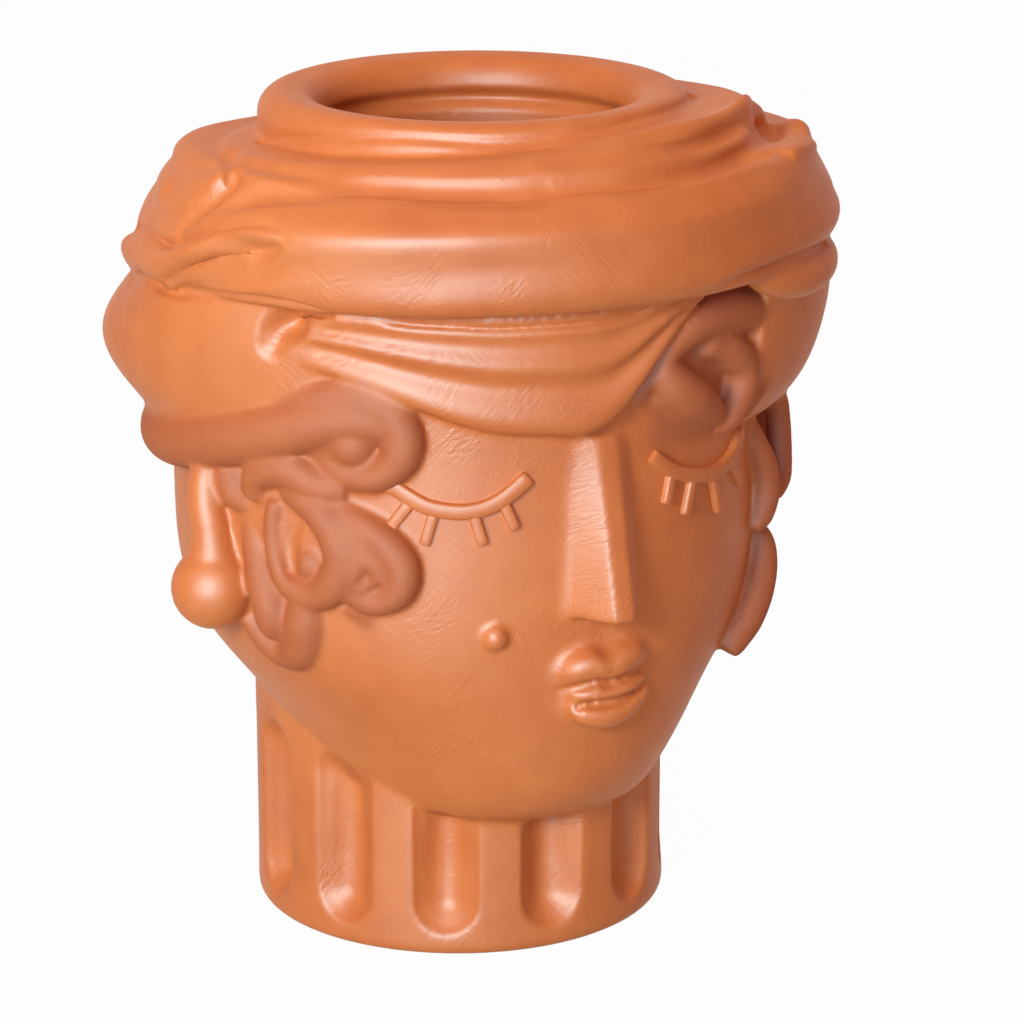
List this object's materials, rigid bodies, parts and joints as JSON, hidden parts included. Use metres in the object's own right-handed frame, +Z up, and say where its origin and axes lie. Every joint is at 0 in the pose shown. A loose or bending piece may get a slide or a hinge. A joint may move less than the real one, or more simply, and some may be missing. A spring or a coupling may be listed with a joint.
{
  "type": "head vase",
  "caption": "Terracotta vase shaped as a stylised head with closed eyes and a wound head cloth, on a fluted neck; an open rolled mouth takes flowers or a small plant.",
  "frame": {"origin": "centre of the round foot, on the plane that the vase stands on", "axes": "+Z up towards the mouth, -Y out of the face, +X towards the vase's own left"},
  "size_m": [0.2522, 0.2428, 0.3004],
  "materials": {
    "terracotta": "satin"
  },
  "bodies": {
    "root": {"arch_lock": "terracotta", "base_floor": "terracotta", "beauty_spot": "terracotta", "brow_band": "terracotta", "cheek_curl": "terracotta", "crown_fold": "terracotta", "ear_right": "terracotta", "earring_left": "terracotta", "earring_right": "terracotta", "eyelid_left": "terracotta", "eyelid_right": "terracotta", "flower_button": "terracotta", "flower_curl": "terracotta", "hair_arch": "terracotta", "hanging_lock": "terracotta", "head_shell": "terracotta", "inner_lock": "terracotta", "leaf_fold": "terracotta", "left_lash_1": "terracotta", "left_lash_2": "terracotta", "left_lash_3": "terracotta", "left_lash_4": "terracotta", "long_lock": "terracotta", "lower_lip": "terracotta", "lower_wrap": "terracotta", "main_wrap": "terracotta", "mouth_collar": "terracotta", "nape_roll": "terracotta", "neck": "terracotta", "nose": "terracotta", "right_lash_1": "terracotta", "right_lash_2": "terracotta", "right_lash_3": "terracotta", "right_lash_4": "terracotta", "side_fold": "terracotta", "side_lock": "terracotta", "side_tuck": "terracotta", "temple_button": "terracotta", "temple_curl": "terracotta", "twist_curl": "terracotta", "twist_lock": "terracotta", "upper_lip": "terracotta"}
  },
  "joints": []
}
